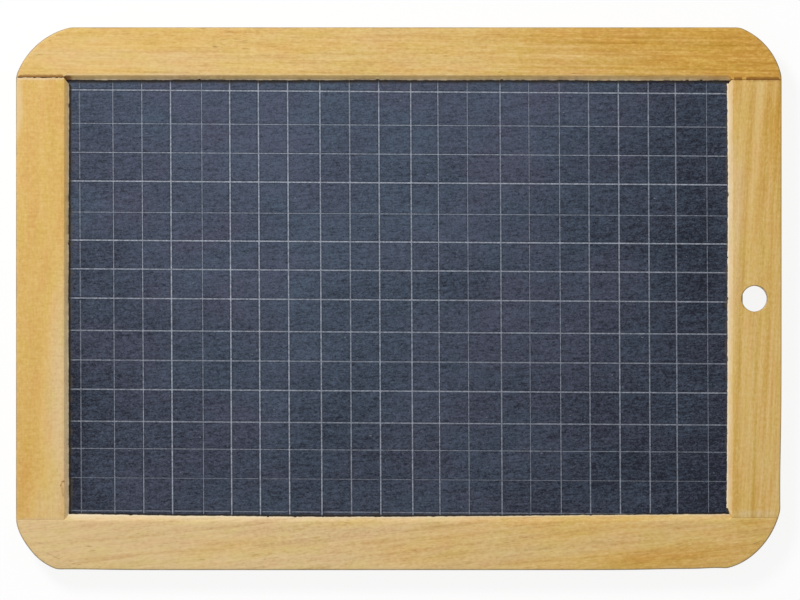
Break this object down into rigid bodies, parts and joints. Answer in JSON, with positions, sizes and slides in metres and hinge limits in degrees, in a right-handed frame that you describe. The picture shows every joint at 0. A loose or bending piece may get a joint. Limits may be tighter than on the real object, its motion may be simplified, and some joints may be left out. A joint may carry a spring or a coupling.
{
  "type": "framed writing slate",
  "caption": "Hand-held writing slate: a thin slate panel ruled in squares, captive in a varnished softwood frame with rounded corners and a hanging hole.",
  "frame": {"origin": "middle of the board's back, on the surface that it lies on", "axes": "+X along the rails towards the hanging hole, +Y along the stiles towards the top rail, +Z out of the writing face"},
  "size_m": [0.256, 0.1816, 0.0084],
  "materials": {
    "frame_wood": "varnished softwood, raw along the inner lip",
    "slate": "matt, honed, with pale scribed lines"
  },
  "bodies": {
    "root": {"top_rail": "frame_wood", "bottom_rail": "frame_wood", "left_stile": "frame_wood", "right_stile": "frame_wood", "slate": "slate"}
  },
  "joints": []
}
